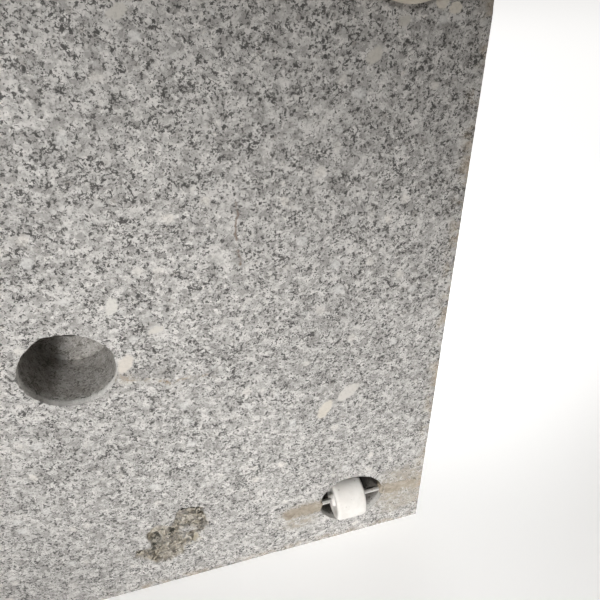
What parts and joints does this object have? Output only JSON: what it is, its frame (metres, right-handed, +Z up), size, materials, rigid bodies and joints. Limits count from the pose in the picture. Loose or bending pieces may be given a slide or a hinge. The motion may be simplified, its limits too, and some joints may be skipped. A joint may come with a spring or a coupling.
{
  "type": "wheeled granite slab",
  "caption": "Thick square granite base slab with small rollers let into its underside along one edge, glide pads at the opposite edge and a counterbored centre bolt hole.",
  "frame": {"origin": "centre of the footprint on the standing edge, the edge that carries the rollers", "axes": "+Z up along the upright slab, +X along the standing edge, -Y out of the face with the rollers, +Y out of the honed outer face"},
  "size_m": [0.45, 0.083, 0.45],
  "materials": {
    "granite": "fine grey granite, sawn on the underside and edges, honed on the outer face",
    "nylon": "satin white nylon, worn",
    "steel": "bright drawn rod",
    "mortar": "rough beige mortar",
    "pad": "beige, smooth"
  },
  "bodies": {
    "slab": {"granite_slab": "granite", "axle_right": "steel", "axle_left": "steel", "mortar_right_outer": "mortar", "mortar_right_inner": "mortar", "mortar_left_outer": "mortar", "mortar_left_inner": "mortar", "glide_pad_right": "pad", "glide_pad_left": "pad"},
    "right_roller": {"roller_right": "nylon"},
    "left_roller": {"roller_left": "nylon"}
  },
  "joints": [
    {"name": "roller_right_spin", "type": "hinge", "parent": "slab", "child": "right_roller", "pos_m": [0.1633, -0.0255, 0.0456], "axis": [1, 0, 0], "continuous": true},
    {"name": "roller_left_spin", "type": "hinge", "parent": "slab", "child": "left_roller", "pos_m": [-0.1633, -0.0255, 0.0456], "axis": [1, 0, 0], "continuous": true}
  ]
}
